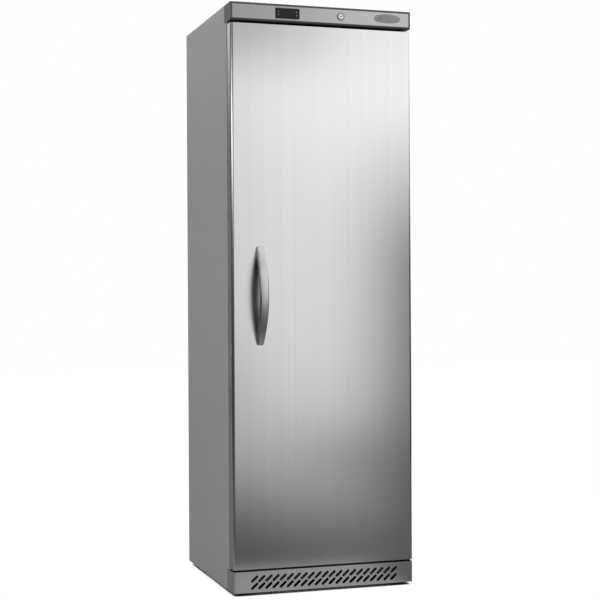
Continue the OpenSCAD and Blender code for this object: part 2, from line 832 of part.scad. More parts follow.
// Lock
module lock_barrel() {
    collar = 3;
    color(bright) on_plan() difference() {
        union() {
            translate([lock_x, 0, lock_z]) rotate([90, 0, 0]) rotate_extrude() {
                square([lock_r, collar - 1]);
                square([lock_r - 1, collar]);
                translate([lock_r - 1, collar - 1]) circle(1);
            }
            rod_y(lock_x, lock_z, -eps, barrel_d, plug_r + 2);
        }
        rod_y(lock_x, lock_z, -past, barrel_d + past, plug_r + run_clear);
    }
}
module lock_nut() {
    color(zinc) on_plan() difference() {
        rod_y(lock_x, lock_z, fascia_t + header_t, fascia_t + header_t + 5, lock_r + 1);
        rod_y(lock_x, lock_z, 0, barrel_d, plug_r + 2);
    }
}
module lock_rotor() {
    color(bright) on_plan() difference() {
        union() {
            rod_y(lock_x, lock_z, -2, cam_y, plug_r);
            rod_y(lock_x, lock_z, cam_y - eps, cam_y + cam_t + 3, plug_r - 3);
        }
        rod_y(lock_x, lock_z, -past, 6, 1.6);
        span([lock_x - 0.6, -past, lock_z - 3.6], [lock_x + 0.6, 6, lock_z + 3.6]);
    }
}
module lock_cam() {
    color(zinc) on_plan() difference() {
        union() {
            span([lock_x, cam_y, lock_z - cam_w / 2], [lock_x + cam_l, cam_y + cam_t, lock_z + cam_w / 2]);
            rod_y(lock_x, lock_z, cam_y, cam_y + cam_t, cam_w / 2);
        }
        rod_y(lock_x, lock_z, 0, body_d, plug_r - 3);
    }
}
keeper_depth = cam_l - (lock_z - door_top) + cam_clear;
keeper_reach = cam_reach(lock_z - door_top);
module keeper_form(top) {
    wall = 1.5;
    span([lock_x - cam_w / 2 - cam_clear - wall, cam_y - cam_clear - wall, door_top - keeper_depth - wall],
        [lock_x + keeper_reach + wall, cam_y + cam_t + cam_clear + wall, top]);
}
module lock_keeper() {
    color(zinc) on_plan() difference() {
        keeper_form(door_top - cap_t);
        cam_slot(door_top - keeper_depth, door_top + past, keeper_reach);
    }
}

// Door
module door_plan(grow, back) {
    r = door_edge_r - grow;
    translate([-half_w + door_edge_r, grow]) square([body_w - 2 * door_edge_r, back - grow]);
    translate([-half_w + grow, door_edge_r]) square([body_w - 2 * grow, back - door_edge_r]);
    for (x = [-1, 1]) {
        translate([x * (half_w - door_edge_r), door_edge_r]) circle(r);
    }
}
door_in = door_t - sheet_t;
module door_skin() {
    color(steel) on_plan() difference() {
        translate([0, 0, door_bottom]) linear_extrude(door_top - door_bottom) difference() {
            door_plan(0, door_t);
            door_plan(sheet_t, door_in);
            translate([-half_w + door_return, door_in - past]) square([body_w - 2 * door_return, 2 * past]);
        }
        handle_screw_form(run_clear);
    }
}
cap_skirt = 2;
module door_cap_form(plate_z, skirt_z) {
    translate([0, 0, plate_z]) linear_extrude(cap_t) door_plan(sheet_t, door_in);
    translate([0, 0, skirt_z]) linear_extrude(cap_h - cap_t + eps) difference() {
        door_plan(sheet_t, door_in - liner_t);
        translate([0, cap_skirt]) intersection() {
            door_plan(sheet_t + cap_skirt, door_in - liner_t - 2 * cap_skirt);
            square([2 * body_w, 2 * body_w], center = true);
        }
    }
    for (x = [-1, 1]) {
        rod_z(x * hinge_x, hinge_back, skirt_z, skirt_z + cap_h - cap_t, bush_r + cap_skirt + cap_t);
    }
}
module door_caps() {
    color(dark_trim) on_plan() difference() {
        union() {
            door_cap_form(door_bottom, door_bottom + cap_t - eps);
            door_cap_form(door_top - cap_t, door_top - cap_h);
        }
        for (x = [-1, 1]) {
            rod_z(x * hinge_x, hinge_back, 0, door_bottom + cap_h + past, bush_r);
            rod_z(x * hinge_x, hinge_back, door_top - cap_h - past, body_h, bush_r);
        }
        cam_slot(door_top - keeper_depth, door_top + past, keeper_reach);
    }
}
module door_foam() {
    color(foam_yellow) on_plan() difference() {
        translate([0, 0, door_bottom + cap_t]) linear_extrude(door_top - door_bottom - 2 * cap_t) {
            door_plan(sheet_t, door_in - liner_t);
        }
        door_cap_form(door_bottom, door_bottom + cap_t - eps);
        door_cap_form(door_top - cap_t, door_top - cap_h);
        keeper_form(body_h);
        handle_screw_form(run_clear);
    }
}
plateau_half = cabin_half - plateau_gap;
plateau_y = door_in + plateau_h;
module plateau(grow, y0) {
    along_y(y0, plateau_y - grow) {
        round_rect([-plateau_half + grow, door_bottom + wall_t + plateau_gap + grow],
            [plateau_half - grow, door_top - wall_t - plateau_gap - grow], 20 - grow);
    }
}
module door_liner() {
    low = door_bottom + cap_t;
    high = door_top - cap_t;
    color(white) on_plan() difference() {
        union() {
            span([-skin_in, door_in - liner_t, low], [skin_in, door_in, high]);
            plateau(0, door_in - eps);
        }
        plateau(liner_t, door_in - past);
    }
}
module door_gasket() {
    low = [-half_w + gasket_inset, door_bottom + gasket_inset];
    high = [half_w - gasket_inset, door_top - gasket_inset];
    side = [gasket_w, gasket_w];
    step = [2.5, 2.5];
    seat = door_in + 4;
    color([0.5, 0.5, 0.5]) on_plan() {
        along_y(door_in, seat) difference() {
            round_rect(low, high, 6);
            round_rect(low + side, high - side, 3);
        }
        along_y(seat - eps, flange_y - gasket_clear) difference() {
            round_rect(low + step, high - step, 4);
            round_rect(low + side - step, high - side + step, 4);
        }
    }
}

// Handle: a bow whose outer and inner arcs meet its feet
handle_x = -half_w + handle_in;
handle_screw_r = 2.5;
function arc_r(chord, rise) = (pow(chord / 2, 2) + pow(rise, 2)) / (2 * rise);
module handle() {
    rise = handle_reach - handle_end_t;
    outer_r = arc_r(handle_l, rise);
    gap = handle_reach - handle_mid_t;
    inner_r = arc_r(handle_l - 2 * handle_foot, gap);
    outline = 8;
    function edge(k) = handle_mid_w / 2 - (handle_mid_w - handle_end_w) / 2 * pow(k / outline, 2);
    color(bright) on_plan() translate([handle_x, 0, handle_z]) difference() {
        intersection() {
            along_x(-handle_mid_w, handle_mid_w) intersection() {
                translate([outer_r - handle_reach, 0]) circle(outer_r, $fn = 720);
                translate([-handle_reach, -handle_l / 2]) square([handle_reach, handle_l]);
            }
            along_y(-handle_reach - past, past) polygon([
                for (side = [-1, 1], k = [-outline : outline]) [side * edge(k), side * k * handle_l / outline / 2]
            ]);
        }
        along_x(-handle_mid_w, handle_mid_w) translate([inner_r - gap, 0]) circle(inner_r, $fn = 720);
        translate([-handle_x, 0, -handle_z]) handle_screw_form(run_clear);
    }
}
// Screws from inside the door, with their heads behind the skin
module handle_screw_form(grow) {
    head = 3;
    for (end = [-1, 1]) {
        z = handle_z + end * (handle_l - handle_foot) / 2;
        rod_y(handle_x, z, -handle_end_t + 2, sheet_t + head, handle_screw_r + grow);
        rod_y(handle_x, z, sheet_t, sheet_t + head + grow, 2 * handle_screw_r + grow);
    }
}
module handle_screws() {
    color(zinc) on_plan() handle_screw_form(0);
}

// Feet, shelves and cooling
function shelf_z(i) = ledge_z(shelf_first + i * shelf_step) + ledge_h + rail_r + gasket_clear;
module wire_shelf(i) {
    z = shelf_z(i);
    inset = 11;
    x = cabin_half - shelf_side_gap - rail_r;
    front = flange_y + plateau_h - door_gap - sheet_t + shelf_travel + 2 + rail_r;
    back = cabin_back - shelf_back_gap;
    top = z + rail_r + wire_r - 0.4;
    pitch = 2 * (x - rail_r - inset) / (wire_count - 1);
    color(white) on_plan() {
        pipe([[-x, back, z], [-x, front, z], [x, front, z], [x, back, z], [-x, back, z]], rail_r);
        translate([-x, back, z]) sphere(rail_r);
        for (k = [1, 2]) {
            rod_x(front + k * (back - front) / 3, z, -x, x, rail_r - 0.5);
        }
        for (k = [0 : wire_count - 1]) {
            wire_x = -x + rail_r + inset + k * pitch;
            rod_y(wire_x, top, front - 1, back + 1, wire_r);
        }
    }
}
module shelf_1() {
    wire_shelf(0);
}
module shelf_2() {
    wire_shelf(1);
}
module shelf_3() {
    wire_shelf(2);
}
module shelf_4() {
    wire_shelf(3);
}
module shelf_5() {
    wire_shelf(4);
}
compressor_y = comp_y + comp_d / 2;
mount_x = 88;
mount_y = 58;
mount_bolt_r = 3;
shell_z = pan_top + mount_h + base_t + 1;
shell_top = shell_z + compressor_h;
module shell_form(grow) {
    r = 32;
    translate([compressor_x, compressor_y, shell_z]) rotate_extrude() {
        square([compressor_r - r + grow, compressor_h]);
        translate([0, r]) square([compressor_r + grow, compressor_h - 2 * r]);
        for (z = [r, compressor_h - r]) {
            translate([compressor_r - r, z]) circle(r + grow);
        }
    }
}
module compressor() {
    plate = shell_z - base_t - 1;
    seam = shell_z + compressor_h * 0.58;
    color(black) on_plan() {
        shell_form(0);
        rod_z(compressor_x, compressor_y, seam, seam + 4, compressor_r + 3);
        difference() {
            span([compressor_x - mount_x - 14, compressor_y - mount_y - 12, plate],
                [compressor_x + mount_x + 14, compressor_y + mount_y + 12, shell_z + 0.2]);
            mount_bores(plate - 1, shell_z + 1, 6);
        }
        tube([compressor_x + 30, compressor_y + 40, shell_top - 30],
            [compressor_x + 30, compressor_y + 66, shell_top - 30], 4);
    }
}
module mount_bores(z0, z1, r) {
    for (x = [-1, 1], y = [-1, 1]) {
        rod_z(compressor_x + x * mount_x, compressor_y + y * mount_y, z0, z1, r);
    }
}
module compressor_mounts() {
    plate = shell_z - base_t - 1;
    color(dark_trim) on_plan() {
        mount_bores(pan_top, plate, 9);
        mount_bores(plate - 1, shell_z + 1, 6);
        mount_bores(shell_z + 0.2, shell_z + 4, 9);
        mount_bores(base_z + base_t, pan_top + 1, mount_bolt_r);
    }
}
module terminal_box() {
    out = 32;
    lap = 12;
    half = 24;
    low = shell_z + 22;
    color(black) on_plan() difference() {
        span([compressor_x - compressor_r - out, compressor_y - half, low],
            [compressor_x - compressor_r + lap, compressor_y + half, low + 52]);
        shell_form(0);
    }
}
module evaporation_tray() {
    wall = 2;
    w = 176;
    d = 136;
    color(white) on_plan() translate([compressor_x - w / 2, compressor_y - d / 2, shell_top]) difference() {
        cube([w, d, tray_h]);
        translate([wall, wall, wall]) cube([w - 2 * wall, d - 2 * wall, tray_h]);
    }
}
dryer = [compressor_x - 190, comp_y + 150, pan_top + 60];
dryer_l = 100;
module filter_dryer() {
    body = 10;
    color(copper) on_plan() translate(dryer) rotate_extrude() {
        polygon([[0, 0], [3, 0], [4, 6], [body, 16], [body, dryer_l - 16], [4, dryer_l - 6], [3, dryer_l],
            [0, dryer_l]]);
    }
}
capillary_r = 1.5;
suction_r = 4;
coil_y = rear_panel_y + 15;
coil_half = cabin_half - coil_pitch / 2 - 5;
coil_top = coil_z + (coil_count - 1) * coil_pitch;
module refrigerant_lines() {
    riser = half_w - 22;
    side = [compressor_x + compressor_r, compressor_y, shell_z + 60];
    front = [compressor_x, compressor_y - compressor_r, shell_z + 70];
    bend_z = comp_h - 30;
    color(copper) on_plan() {
        pipe([side, [riser, side[1], side[2]], [riser, coil_y, side[2]], [riser, coil_y, coil_top],
            [coil_half, coil_y, coil_top]], coil_r);
        pipe([[-coil_half, coil_y, coil_z], [-riser, coil_y, coil_z], [-riser, coil_y, bend_z],
            [-riser, dryer[1], bend_z], [dryer[0], dryer[1], bend_z], dryer + [0, 0, dryer_l]], coil_r);
        pipe([dryer, dryer - [0, 0, 14], dryer - [0, 30, 14], [dryer[0], dryer[1] - 30, comp_h]], capillary_r);
        pipe([front, [front[0], comp_y + 10, front[2]], [front[0], comp_y + 10, comp_h]], suction_r);
    }
}
weld_gap = 0.1;
module condenser() {
    color(black) on_plan() {
        for (k = [0 : coil_count - 1]) {
            z = coil_z + k * coil_pitch;
            rod_x(coil_y, z, -coil_half, coil_half, coil_r);
            if (k < coil_count - 1) {
                side = k % 2 == 0 ? 1 : -1;
                translate([side * coil_half, coil_y, z + coil_pitch / 2]) rotate([90, side * 90, 0]) {
                    rotate_extrude(angle = 180) translate([coil_pitch / 2, 0]) circle(coil_r);
                }
            }
        }
        for (k = [0 : fin_count - 1]) {
            x = (k - (fin_count - 1) / 2) * 2 * (coil_half - 10) / (fin_count - 1);
            rod_z(x, coil_y + coil_r + fin_r + weld_gap, coil_z - 12, coil_top + 12, fin_r);
        }
        for (x = [-1, 1], z = [coil_z + coil_pitch, coil_top - coil_pitch]) {
            span([x * (coil_half - 20) - 6, rear_panel_y, z - 6], [x * (coil_half - 20) + 6, coil_y, z + 6]);
        }
    }
}
inlet = [-200, body_d - 22, pan_top + 34];
gland_r = 4.5;
gland_l = 14;
module mains_inlet() {
    color(black) on_plan() difference() {
        union() {
            span([inlet[0] - 34, inlet[1] - 46, pan_top], [inlet[0] + 34, inlet[1], inlet[2] + 34]);
            rod_y(inlet[0], inlet[2], inlet[1] - 1, inlet[1] + gland_l, gland_r + 6);
        }
        rod_y(inlet[0], inlet[2], inlet[1] - 10, inlet[1] + gland_l + 1, gland_r);
    }
}

// Fan in the cabin
cover_top = cabin_top - cabin_r - fan_cover_drop;
cover_front = cabin_back - fan_cover_d;
fan_z = cover_top - fan_cover_h / 2;
fan_y = cover_front + 14;
motor_y = fan_y + 26;
shaft_r = 2;
hub_wall = 3;
module fan_cover() {
    w = fan_cover_w / 2;
    low = cover_top - fan_cover_h;
    t = fan_cover_t;
    bar = 4;
    color(white) on_plan() difference() {
        along_y(cover_front, cabin_back) round_rect([-w, low], [w, cover_top], 10);
        along_y(cover_front + t, cabin_back + past) round_rect([-w + t, low + t], [w - t, cover_top - t], 10 - t);
        difference() {
            for (r = [16 : 9 : fan_r]) {
                difference() {
                    rod_y(0, fan_z, cover_front - 1, cover_front + t + 1, r + 5.5);
                    rod_y(0, fan_z, cover_front - 2, cover_front + t + 2, r);
                }
            }
            for (turn = [0, 90]) {
                translate([0, 0, fan_z]) rotate([0, turn, 0]) {
                    span([-2 * fan_r, cover_front - 3, -bar / 2], [2 * fan_r, cover_front + t + 3, bar / 2]);
                }
            }
        }
        for (k = [-7 : 7]) {
            span([k * 14 - 4, cover_front + 16, low - 1], [k * 14 + 4, cabin_back - 12, low + t + 1]);
        }
    }
}
module fan_motor() {
    plate = cabin_back - 4;
    color(black) on_plan() {
        rod_y(0, fan_z, motor_y, plate + 1, 22);
        rod_y(0, fan_z, fan_y + hub_wall + gasket_clear, motor_y + 1, shaft_r);
        span([-70, plate, fan_z - 8], [70, cabin_back, fan_z + 8]);
    }
}
module fan_blade() {
    hub = 14;
    blade_d = 16;
    color(white) on_plan() translate([0, fan_y, fan_z]) difference() {
        union() {
            rod_y(0, 0, 0, 18, hub);
            intersection() {
                rod_y(0, 0, 1, 1 + blade_d, fan_r);
                for (k = [0 : blade_count - 1]) {
                    rotate([0, k * 360 / blade_count, 0]) translate([0, 9, 0]) rotate([35, 0, 0]) {
                        span([hub - 3, -0.8, -14], [fan_r + 4, 0.8, 14]);
                    }
                }
            }
        }
        rod_y(0, 0, hub_wall, 19, shaft_r + run_clear);
    }
}
module temp_probe() {
    x = fan_cover_w / 2 + 20;
    color(zinc) on_plan() {
        span([x - 7, cabin_back - 8, fan_z - 10], [x + 7, cabin_back, fan_z + 10]);
        rod_z(x, cabin_back - 9, fan_z - 30, fan_z + 22, 3.5);
    }
}
// It gathers what runs through the strainer in the liner's floor
module drain_spout() {
    end_z = shell_top + tray_h - 6;
    wall = 2;
    color(white) on_plan() difference() {
        rod_z(drain_x, drain_y, end_z, step_z - liner_t, drain_r - 0.2);
        rod_z(drain_x, drain_y, end_z - past, step_z, drain_r - wall);
    }
}

side_panel_left();
side_panel_right();
top_panel();
rear_panel();
front_rails();
floor_pan();
base_frame();
base_pan();
insulation_foam();
inner_liner();
evaporator_plate();
wiring_conduit();
header_housing();
fascia_plate();
badge_plate();
controller_case();
controller_window();
key_upper_left();
key_lower_left();
key_upper_right();
key_lower_right();
lock_barrel();
lock_nut();
lock_rotor();
lock_cam();
kick_plate();
hinge_bracket_lower();
hinge_bracket_upper();
cabinet_screws();
foot_left();
foot_right();
roller_left();
roller_right();
compressor();
compressor_mounts();
terminal_box();
evaporation_tray();
filter_dryer();
refrigerant_lines();
condenser();
mains_inlet();
fan_cover();
fan_motor();
fan_blade();
temp_probe();
drain_spout();
shelf_1();
shelf_2();
shelf_3();
shelf_4();
shelf_5();
door_skin();
door_foam();
door_liner();
door_gasket();
door_caps();
hinge_bushes();
lock_keeper();
handle();
handle_screws();
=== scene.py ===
# Upright cabinet refrigerator with one solid steel door: finishes, hand-made pieces, camera and studio.
import json
import math
import bmesh
import bpy
from mathutils import Matrix, Vector

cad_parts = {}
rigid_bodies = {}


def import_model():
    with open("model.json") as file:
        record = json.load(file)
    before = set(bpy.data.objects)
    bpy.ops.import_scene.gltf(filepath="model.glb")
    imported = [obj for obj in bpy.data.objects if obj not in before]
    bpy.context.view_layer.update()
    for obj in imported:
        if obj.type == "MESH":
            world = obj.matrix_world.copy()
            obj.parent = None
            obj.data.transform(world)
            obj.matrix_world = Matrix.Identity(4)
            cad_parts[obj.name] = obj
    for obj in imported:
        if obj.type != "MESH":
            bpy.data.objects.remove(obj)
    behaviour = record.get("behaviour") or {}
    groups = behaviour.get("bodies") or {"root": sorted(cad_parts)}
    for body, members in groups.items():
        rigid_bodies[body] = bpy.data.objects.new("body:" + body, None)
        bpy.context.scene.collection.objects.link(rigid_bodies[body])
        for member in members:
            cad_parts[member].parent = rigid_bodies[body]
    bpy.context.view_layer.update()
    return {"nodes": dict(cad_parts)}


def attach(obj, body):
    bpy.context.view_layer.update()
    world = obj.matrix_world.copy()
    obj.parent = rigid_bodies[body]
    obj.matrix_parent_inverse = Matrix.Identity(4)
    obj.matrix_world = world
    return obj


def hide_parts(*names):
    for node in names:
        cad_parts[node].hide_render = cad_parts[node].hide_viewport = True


for leftover in list(bpy.data.objects):
    bpy.data.objects.remove(leftover)
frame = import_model()


class Signal:
    # one output in a node tree; sums on it add Math nodes
    def __init__(self, tree, output):
        self.tree = tree
        self.output = output

    def math(self, operation, first, second):
        return self.tree.node("Math", {"operation": operation}, {0: first, 1: second})

    def __add__(self, other):
        return self.math("ADD", self, other)

    def __sub__(self, other):
        return self.math("SUBTRACT", self, other)

    def __mul__(self, other):
        return self.math("MULTIPLY", self, other)

    def __truediv__(self, other):
        return self.math("DIVIDE", self, other)

    def __pow__(self, other):
        return self.math("POWER", self, other)

    def __rsub__(self, other):
        return self.math("SUBTRACT", other, self)

    def __rtruediv__(self, other):
        return self.math("DIVIDE", other, self)

    __radd__ = __add__
    __rmul__ = __mul__


class Finish:
    # the node tree of a material or of the world
    def __init__(self, owner):
        owner.use_nodes = True
        self.owner = owner
        self.tree = owner.node_tree
        self.tree.nodes.clear()

    def node(self, kind, settings=None, sockets=None, output=0):
        made = self.tree.nodes.new("ShaderNode" + kind)
        for name, value in (settings or {}).items():
            if name == "stops":
                stops = made.color_ramp.elements
                for index, (place, tone) in enumerate(value):
                    stop = stops[index] if index < 2 else stops.new(place)
                    stop.position = place
                    stop.color = (tone, tone, tone, 1)
            else:
                setattr(made, name, value)
        for name, value in (sockets or {}).items():
            if isinstance(value, Signal):
                self.tree.links.new(value.output, made.inputs[name])
            else:
                made.inputs[name].default_value = value
        return Signal(self, made.outputs[output]) if made.outputs else None

    def spot(self, scale=(1, 1, 1), centre=(0, 0, 0)):
        # where a point of the piece is, in metres, with the pattern stretched along each axis
        place = self.node("TexCoord", output=3)
        return self.node("Mapping", {"vector_type": "TEXTURE"}, {
            "Vector": place, "Location": centre, "Scale": [1 / s for s in scale]})

    def noise(self, scale, detail=3, roughness=0.5, stretch=(1, 1, 1)):
        return self.node("TexNoise", None, {
            "Vector": self.spot(stretch), "Scale": scale, "Detail": detail, "Roughness": roughness})

    def blend(self, amount, dark, light):
        # colour between two colours
        return self.node("Mix", {"data_type": "RGBA"}, {0: amount, 6: (*dark, 1), 7: (*light, 1)}, 2)

    def fade(self, value, low, high):
        # 0 below low, 1 above high
        return self.node("MapRange", {"interpolation_type": "SMOOTHSTEP"}, {
            "Value": value, "From Min": low, "From Max": high})

    def bump(self, height, depth, strength=0.5, edge=0):
        # a shallow relief, on edges rounded by the radius edge
        sockets = {"Height": height, "Distance": depth, "Strength": strength}
        if edge:
            sockets["Normal"] = self.node("Bevel", {"samples": 6}, {"Radius": edge})
        return self.node("Bump", None, sockets)

    def surface(self, **sockets):
        names = {name.replace("_", " "): value for name, value in sockets.items()}
        shader = self.node("BsdfPrincipled", None, names)
        self.node("OutputMaterial", None, {"Surface": shader})
        return self.owner


def finish(name):
    return Finish(bpy.data.materials.new(name))


def tinted(colour, factor):
    return tuple(min(1, c * factor) for c in colour)


brushing = {"bandWidth": 14, "fineShare": 0.35, "bandShare": 0.65, "soft": (0.3, 0.7), "dark": 0.98, "light": 1.01,
            "smudgeMatt": 0.03, "relief": 0.4}


def brushedSteel(name, look):
    # fine scratches run along one axis, with broad faint bands and soft smudges over them
    f = finish(name)
    along, across = look["along"], look["across"]
    lines = {"z": (across, across, along), "x": (along, across, across)}[look["grain"]]
    fine = f.noise(1, 2, 0.6, lines)
    band = f.noise(1, 2, 0.5, tuple(s / brushing["bandWidth"] for s in lines))
    smudge = f.noise(look["smudges"], 3)
    tone = f.fade(fine * brushing["fineShare"] + band * brushing["bandShare"], *brushing["soft"])
    dark, light = (tinted(look["colour"], brushing[key]) for key in ("dark", "light"))
    return f.surface(
        Base_Color=f.blend(tone, dark, light),
        Metallic=1.0,
        Roughness=fine * look["scratch"] + smudge * brushing["smudgeMatt"] + look["roughness"],
        Anisotropic=look["pull"],
        Anisotropic_Rotation=0.0 if look["grain"] == "z" else 0.25,
        Normal=f.bump(fine, look["depth"], brushing["relief"]))


coating = {"clouds": 3, "dark": 0.97, "light": 1.03, "peelMatt": 0.08, "relief": 0.3}


def paintedSheet(name, look):
    # powder coat: a shallow orange peel and a very faint cloudiness
    f = finish(name)
    peel = f.noise(look["peel"], 2)
    cloud = f.noise(coating["clouds"], 3)
    dark, light = (tinted(look["colour"], coating[key]) for key in ("dark", "light"))
    return f.surface(
        Base_Color=f.blend(cloud, dark, light),
        Metallic=look["metal"],
        Roughness=peel * coating["peelMatt"] + look["roughness"],
        Normal=f.bump(peel, look["depth"], coating["relief"], look["edge"]))


moulding = {"wearScale": 12, "dark": 0.95, "light": 1.04, "grainMatt": 0.1, "worn": (0.5, 0.8), "wornGloss": 0.06,
            "relief": 0.4}


def mouldedPlastic(name, look):
    # fine spark-eroded grain, a little glossier where it is worn
    f = finish(name)
    grain = f.noise(look["grain"], 2, 0.7)
    worn = f.noise(moulding["wearScale"], 4)
    gloss = f.fade(worn, *moulding["worn"]) * moulding["wornGloss"]
    dark, light = (tinted(look["colour"], moulding[key]) for key in ("dark", "light"))
    return f.surface(
        Base_Color=f.blend(worn, dark, light),
        Roughness=grain * moulding["grainMatt"] - gloss + look["roughness"],
        Normal=f.bump(grain, look["depth"], moulding["relief"]))


galvanising = {"dirtScale": 9, "crystalShare": 0.6, "dirtShare": 0.4, "dark": 0.8, "light": 1.12,
               "crystalMatt": 0.14, "dirtMatt": 0.12, "depth": 0.0002, "relief": 0.3}


def zincSheet(name, look):
    # crystals of the zinc bath, each a little lighter or darker than the next
    f = finish(name)
    crystal = f.node("TexVoronoi", None, {"Vector": f.spot(), "Scale": look["spangle"]}, 1)
    shade = f.node("SeparateColor", None, {"Color": crystal})
    dirt = f.noise(galvanising["dirtScale"], 5, 0.6)
    tone = shade * galvanising["crystalShare"] + dirt * galvanising["dirtShare"]
    dark, light = (tinted(look["colour"], galvanising[key]) for key in ("dark", "light"))
    return f.surface(
        Base_Color=f.blend(tone, dark, light),
        Metallic=1.0,
        Roughness=shade * galvanising["crystalMatt"] + dirt * galvanising["dirtMatt"] + look["roughness"],
        Normal=f.bump(dirt, galvanising["depth"], galvanising["relief"]))


polishing = {"patch": (0.45, 0.75), "markMatt": 0.08, "patchMatt": 0.12, "depth": 0.00005, "relief": 0.3}


def drawnMetal(name, look):
    # polished, turned or drawn metal with handling marks; tarnish gathers in patches
    f = finish(name)
    mark = f.noise(look["marks"], 3, 0.6)
    patch = f.fade(f.noise(look["patches"], 4), *polishing["patch"])
    return f.surface(
        Base_Color=f.blend(patch * look["tarnish"], look["colour"], look["aged"]),
        Metallic=1.0,
        Roughness=mark * polishing["markMatt"] + patch * polishing["patchMatt"] + look["roughness"],
        Normal=f.bump(mark, polishing["depth"], polishing["relief"]))


ageing = {"bloomScale": 25, "pores": 900, "bloom": (0.35, 0.75), "light": 1.5, "bloomMatt": 0.15, "depth": 0.0001,
          "relief": 0.4}


def rubber(name, look):
    # fine pores, and a pale bloom in patches
    f = finish(name)
    bloom = f.noise(ageing["bloomScale"], 5, 0.6)
    pores = f.noise(ageing["pores"], 2)
    pale = tinted(look["colour"], ageing["light"])
    return f.surface(
        Base_Color=f.blend(f.fade(bloom, *ageing["bloom"]), look["colour"], pale),
        Roughness=bloom * ageing["bloomMatt"] + look["roughness"],
        Normal=f.bump(pores, ageing["depth"], ageing["relief"]))


foaming = {"tides": 6, "dark": 0.86, "light": 1.1, "cellMatt": 0.1, "matt": 0.85, "depth": 0.0006, "relief": 0.7}


def foamRubber(name, look):
    # cut polyurethane foam with open cells
    f = finish(name)
    cells = f.node("TexVoronoi", None, {"Vector": f.spot(), "Scale": look["cells"]})
    tide = f.noise(foaming["tides"], 4)
    dark, light = (tinted(look["colour"], foaming[key]) for key in ("dark", "light"))
    return f.surface(
        Base_Color=f.blend(tide, dark, light),
        Roughness=cells * foaming["cellMatt"] + foaming["matt"],
        Normal=f.bump(cells, foaming["depth"], foaming["relief"]))


dipping = {"dustScale": 30, "dusty": (0.5, 0.85), "dustShare": 0.5, "runMatt": 0.1, "dustMatt": 0.3,
           "depth": 0.0003, "relief": 0.3}


def enamel(name, look):
    # thick gloss black on castings and wire
    f = finish(name)
    runs = f.noise(look["runs"], 3, 0.5)
    dust = f.fade(f.noise(dipping["dustScale"], 5, 0.7), *dipping["dusty"])
    return f.surface(
        Base_Color=f.blend(dust * dipping["dustShare"], look["colour"], look["dust"]),
        Roughness=runs * dipping["runMatt"] + dust * dipping["dustMatt"] + look["roughness"],
        Normal=f.bump(runs, dipping["depth"], dipping["relief"]))


wiping = {"scale": 40, "stretch": (1, 1, 4), "light": 1.5, "matt": 0.12, "depth": 0.00002, "relief": 0.2}


def darkGlass(name, look):
    # smoked acrylic with faint wiping marks
    f = finish(name)
    wiped = f.noise(wiping["scale"], 3, 0.6, wiping["stretch"])
    return f.surface(
        Base_Color=f.blend(wiped, look["colour"], tinted(look["colour"], wiping["light"])),
        Roughness=wiped * wiping["matt"] + look["roughness"],
        Specular_IOR_Level=look["shine"],
        Normal=f.bump(wiped, wiping["depth"], wiping["relief"]))


